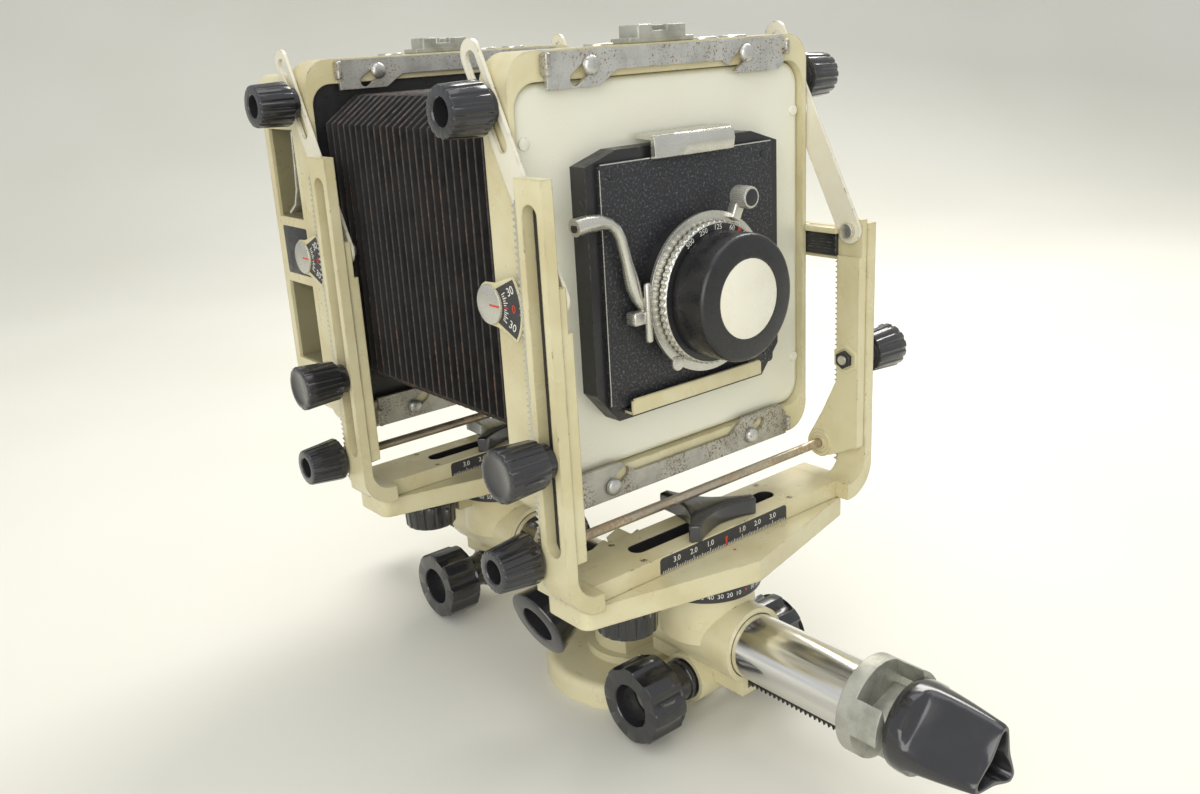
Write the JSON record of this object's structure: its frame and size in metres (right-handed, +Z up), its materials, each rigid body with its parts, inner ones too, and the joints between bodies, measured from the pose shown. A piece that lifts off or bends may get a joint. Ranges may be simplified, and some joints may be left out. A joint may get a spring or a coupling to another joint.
{
  "type": "monorail view camera",
  "caption": "Folding-bellows view camera on a round rail clamp, with tilting, swinging, rising and shifting standards, a capped lens and a ground-glass back.",
  "frame": {"origin": "centre of the base disc's underside", "axes": "+Z up, the lens looks along -Y, +X is on the right when the camera is seen from the front"},
  "size_m": [0.232, 0.402, 0.3056],
  "materials": {
    "cream_enamel": "cast alloy under hard glossy stove enamel, worn at the edges",
    "pearl_enamel": "pearl-cream enamel",
    "black_bakelite": "moulded, glossy",
    "bare_steel": "satin, lightly spotted",
    "chrome": "polished",
    "cast_aluminium": "sand-cast, matt",
    "black_crackle": "wrinkle finish",
    "black_paint": "satin",
    "bellows_cloth": "pleated, worn brown on the folds",
    "ground_glass": "ground on one side"
  },
  "bodies": {
    "base": {"base_disc": "cream_enamel", "clamp_block": "cream_enamel"},
    "clamp_lock": {"clamp_knob": "black_bakelite"},
    "rail": {"rail": "chrome", "end_collar": "cast_aluminium"},
    "grip": {"end_grip": "black_bakelite"},
    "front_carriage": {"front_carriage": "cream_enamel", "front_swing_ring": "black_paint"},
    "front_focus": {"front_focus_pinion": "bare_steel", "front_focus_knobs": "black_bakelite"},
    "front_swing_lock": {"front_swing_knob": "black_bakelite"},
    "front_swing": {"front_swing_plate": "cream_enamel"},
    "front_shift": {"front_shift_plate": "cream_enamel", "front_upright_left": "cream_enamel", "front_upright_right": "cream_enamel", "front_rise_racks": "bare_steel"},
    "front_shift_lock": {"front_shift_lever": "black_bakelite"},
    "front_rise": {"front_slider_left": "cream_enamel", "front_slider_right": "cream_enamel"},
    "front_rise_drive": {"front_rise_rod": "bare_steel", "front_rise_knob": "black_bakelite"},
    "front_rise_lock": {"front_slider_knobs": "black_bakelite"},
    "front_tilt": {"front_frame": "cream_enamel", "lens_board": "pearl_enamel", "board_adapter": "black_paint", "lens_panel": "black_crackle", "shutter": "black_paint", "bellows": "bellows_cloth"},
    "front_struts": {"front_tilt_struts": "cream_enamel"},
    "front_tilt_lock": {"front_tilt_knobs": "black_bakelite"},
    "front_top_catch": {"front_latch_top": "bare_steel"},
    "front_bottom_catch": {"front_latch_bottom": "bare_steel"},
    "rear_carriage": {"rear_carriage": "cream_enamel", "rear_swing_ring": "black_paint"},
    "rear_focus": {"rear_focus_pinion": "bare_steel", "rear_focus_knobs": "black_bakelite"},
    "rear_swing_lock": {"rear_swing_knob": "black_bakelite"},
    "rear_swing": {"rear_swing_plate": "cream_enamel"},
    "rear_shift": {"rear_shift_plate": "cream_enamel", "rear_upright_left": "cream_enamel", "rear_upright_right": "cream_enamel", "rear_rise_racks": "bare_steel"},
    "rear_shift_lock": {"rear_shift_lever": "black_bakelite"},
    "rear_rise": {"rear_slider_left": "cream_enamel", "rear_slider_right": "cream_enamel"},
    "rear_rise_drive": {"rear_rise_rod": "bare_steel", "rear_rise_knob": "black_bakelite"},
    "rear_rise_lock": {"rear_slider_knobs": "black_bakelite"},
    "rear_tilt": {"rear_frame": "cream_enamel", "bellows_board": "black_paint", "back_frame": "cream_enamel"},
    "rear_struts": {"rear_tilt_struts": "cream_enamel"},
    "rear_tilt_lock": {"rear_tilt_knobs": "black_bakelite"},
    "rear_top_catch": {"rear_latch_top": "bare_steel"},
    "rear_bottom_catch": {"rear_latch_bottom": "bare_steel"},
    "panel_catch": {"adapter_latch": "bare_steel"},
    "speed": {"speed_ring": "bare_steel"},
    "cocking": {"cocking_lever": "bare_steel"},
    "cap": {"lens_cap": "black_bakelite"},
    "focusing_screen": {"ground_glass": "ground_glass"}
  },
  "joints": [
    {"name": "rail_slide", "type": "slide", "parent": "base", "child": "rail", "axis": [0, 1, 0], "range_m": [-0.025, 0]},
    {"name": "clamp_screw", "type": "hinge", "parent": "base", "child": "clamp_lock", "pos_m": [-0.00729, 0, 0.06327], "axis": [-0.9397, 0, -0.342], "range_deg": [0, 180]},
    {"name": "grip_turn", "type": "hinge", "parent": "rail", "child": "grip", "pos_m": [0, -0.176, 0.04325], "axis": [0, -1, 0], "range_deg": [0, 120]},
    {"name": "front_focus_slide", "type": "slide", "parent": "rail", "child": "front_carriage", "axis": [0, 1, 0], "range_m": [-0.055, 0], "deforming": ["bellows"]},
    {"name": "front_focus_turn", "type": "hinge", "parent": "front_carriage", "child": "front_focus", "pos_m": [0, -0.0525, 0.0205], "axis": [1, 0, 0], "range_deg": [-718.2, 2]},
    {"name": "front_swing_lock_turn", "type": "hinge", "parent": "front_carriage", "child": "front_swing_lock", "pos_m": [-0.045, -0.049, 0.066], "axis": [0, 0, -1], "range_deg": [0, 180]},
    {"name": "front_swing_turn", "type": "hinge", "parent": "front_carriage", "child": "front_swing", "pos_m": [0, -0.0525, 0.076], "axis": [0, 0, 1], "range_deg": [-25, 25]},
    {"name": "front_shift_slide", "type": "slide", "parent": "front_swing", "child": "front_shift", "axis": [1, 0, 0], "range_m": [-0.03, 0.03]},
    {"name": "front_shift_lever_turn", "type": "hinge", "parent": "front_swing", "child": "front_shift_lock", "pos_m": [0, -0.0525, 0.098], "axis": [0, 0, 1], "range_deg": [-15, 15]},
    {"name": "front_rise_slide", "type": "slide", "parent": "front_shift", "child": "front_rise", "axis": [0, 0, 1], "range_m": [-0.002, 0.045]},
    {"name": "front_rise_turn", "type": "hinge", "parent": "front_rise", "child": "front_rise_drive", "pos_m": [0, -0.0503, 0.1085], "axis": [1, 0, 0], "range_deg": [-28.04, 587.98]},
    {"name": "front_rise_lock_turn", "type": "hinge", "parent": "front_rise", "child": "front_rise_lock", "pos_m": [0, -0.065, 0.1534], "axis": [1, 0, 0], "range_deg": [0, 180]},
    {"name": "front_tilt_turn", "type": "hinge", "parent": "front_rise", "child": "front_tilt", "pos_m": [0, -0.029, 0.2075], "axis": [1, 0, 0], "range_deg": [-18, 18]},
    {"name": "front_strut_turn", "type": "hinge", "parent": "front_rise", "child": "front_struts", "pos_m": [0, -0.066, 0.214], "axis": [1, 0, 0], "range_deg": [-16.5, 16.5]},
    {"name": "front_tilt_lock_turn", "type": "hinge", "parent": "front_tilt", "child": "front_tilt_lock", "pos_m": [0, -0.032, 0.281], "axis": [1, 0, 0], "range_deg": [0, 180]},
    {"name": "front_top_catch_slide", "type": "slide", "parent": "front_tilt", "child": "front_top_catch", "axis": [0.8412, 0, 0.5408], "range_m": [0, 0.0075]},
    {"name": "front_bottom_catch_slide", "type": "slide", "parent": "front_tilt", "child": "front_bottom_catch", "axis": [-0.8412, 0, -0.5408], "range_m": [0, 0.0075]},
    {"name": "rear_focus_slide", "type": "slide", "parent": "rail", "child": "rear_carriage", "axis": [0, 1, 0], "range_m": [-0.025, 0.045]},
    {"name": "rear_focus_turn", "type": "hinge", "parent": "rear_carriage", "child": "rear_focus", "pos_m": [0, 0.1098, 0.0205], "axis": [1, 0, 0], "range_deg": [-327.54, 587.98]},
    {"name": "rear_swing_lock_turn", "type": "hinge", "parent": "rear_carriage", "child": "rear_swing_lock", "pos_m": [-0.045, 0.1133, 0.066], "axis": [0, 0, -1], "range_deg": [0, 180]},
    {"name": "rear_swing_turn", "type": "hinge", "parent": "rear_carriage", "child": "rear_swing", "pos_m": [0, 0.1098, 0.076], "axis": [0, 0, 1], "range_deg": [-25, 25]},
    {"name": "rear_shift_slide", "type": "slide", "parent": "rear_swing", "child": "rear_shift", "axis": [1, 0, 0], "range_m": [-0.03, 0.03]},
    {"name": "rear_shift_lever_turn", "type": "hinge", "parent": "rear_swing", "child": "rear_shift_lock", "pos_m": [0, 0.1098, 0.098], "axis": [0, 0, 1], "range_deg": [-15, 15]},
    {"name": "rear_rise_slide", "type": "slide", "parent": "rear_shift", "child": "rear_rise", "axis": [0, 0, 1], "range_m": [-0.002, 0.045]},
    {"name": "rear_rise_turn", "type": "hinge", "parent": "rear_rise", "child": "rear_rise_drive", "pos_m": [0, 0.112, 0.1085], "axis": [1, 0, 0], "range_deg": [-28.04, 587.98]},
    {"name": "rear_rise_lock_turn", "type": "hinge", "parent": "rear_rise", "child": "rear_rise_lock", "pos_m": [0, 0.0973, 0.1534], "axis": [1, 0, 0], "range_deg": [0, 180]},
    {"name": "rear_tilt_turn", "type": "hinge", "parent": "rear_rise", "child": "rear_tilt", "pos_m": [0, 0.1333, 0.2075], "axis": [1, 0, 0], "range_deg": [-18, 18]},
    {"name": "rear_strut_turn", "type": "hinge", "parent": "rear_rise", "child": "rear_struts", "pos_m": [0, 0.0963, 0.214], "axis": [1, 0, 0], "range_deg": [-16.5, 16.5]},
    {"name": "rear_tilt_lock_turn", "type": "hinge", "parent": "rear_tilt", "child": "rear_tilt_lock", "pos_m": [0, 0.1303, 0.281], "axis": [1, 0, 0], "range_deg": [0, 180]},
    {"name": "rear_top_catch_slide", "type": "slide", "parent": "rear_tilt", "child": "rear_top_catch", "axis": [0.8412, 0, 0.5408], "range_m": [0, 0.0075]},
    {"name": "rear_bottom_catch_slide", "type": "slide", "parent": "rear_tilt", "child": "rear_bottom_catch", "axis": [-0.8412, 0, -0.5408], "range_m": [0, 0.0075]},
    {"name": "panel_catch_slide", "type": "slide", "parent": "front_tilt", "child": "panel_catch", "axis": [0, 0, 1], "range_m": [0, 0.006]},
    {"name": "speed_turn", "type": "hinge", "parent": "front_tilt", "child": "speed", "pos_m": [0, -0.066, 0.2003], "axis": [0, -1, 0], "range_deg": [-150, 60]},
    {"name": "cocking_turn", "type": "hinge", "parent": "front_tilt", "child": "cocking", "pos_m": [0, -0.066, 0.2003], "axis": [0, -1, 0], "range_deg": [-35, 0], "stiffness_Nm_per_rad": 0.05},
    {"name": "cap_pull", "type": "slide", "parent": "front_tilt", "child": "cap", "axis": [0, -1, 0], "range_m": [0, 0.03]},
    {"name": "screen_slide", "type": "slide", "parent": "rear_tilt", "child": "focusing_screen", "axis": [0, 1, 0], "range_m": [0, 0.012], "stiffness_N_per_m": 400}
  ],
  "couplings": [
    {"joint": "front_focus_turn", "follows": "front_focus_slide", "rad_per_m": 227.27},
    {"joint": "front_rise_turn", "follows": "front_rise_slide", "rad_per_m": 227.27},
    {"joint": "front_strut_turn", "follows": "front_tilt_turn", "ratio": 0.855},
    {"joint": "rear_focus_turn", "follows": "rear_focus_slide", "rad_per_m": 227.27},
    {"joint": "rear_rise_turn", "follows": "rear_rise_slide", "rad_per_m": 227.27},
    {"joint": "rear_strut_turn", "follows": "rear_tilt_turn", "ratio": 0.855}
  ]
}
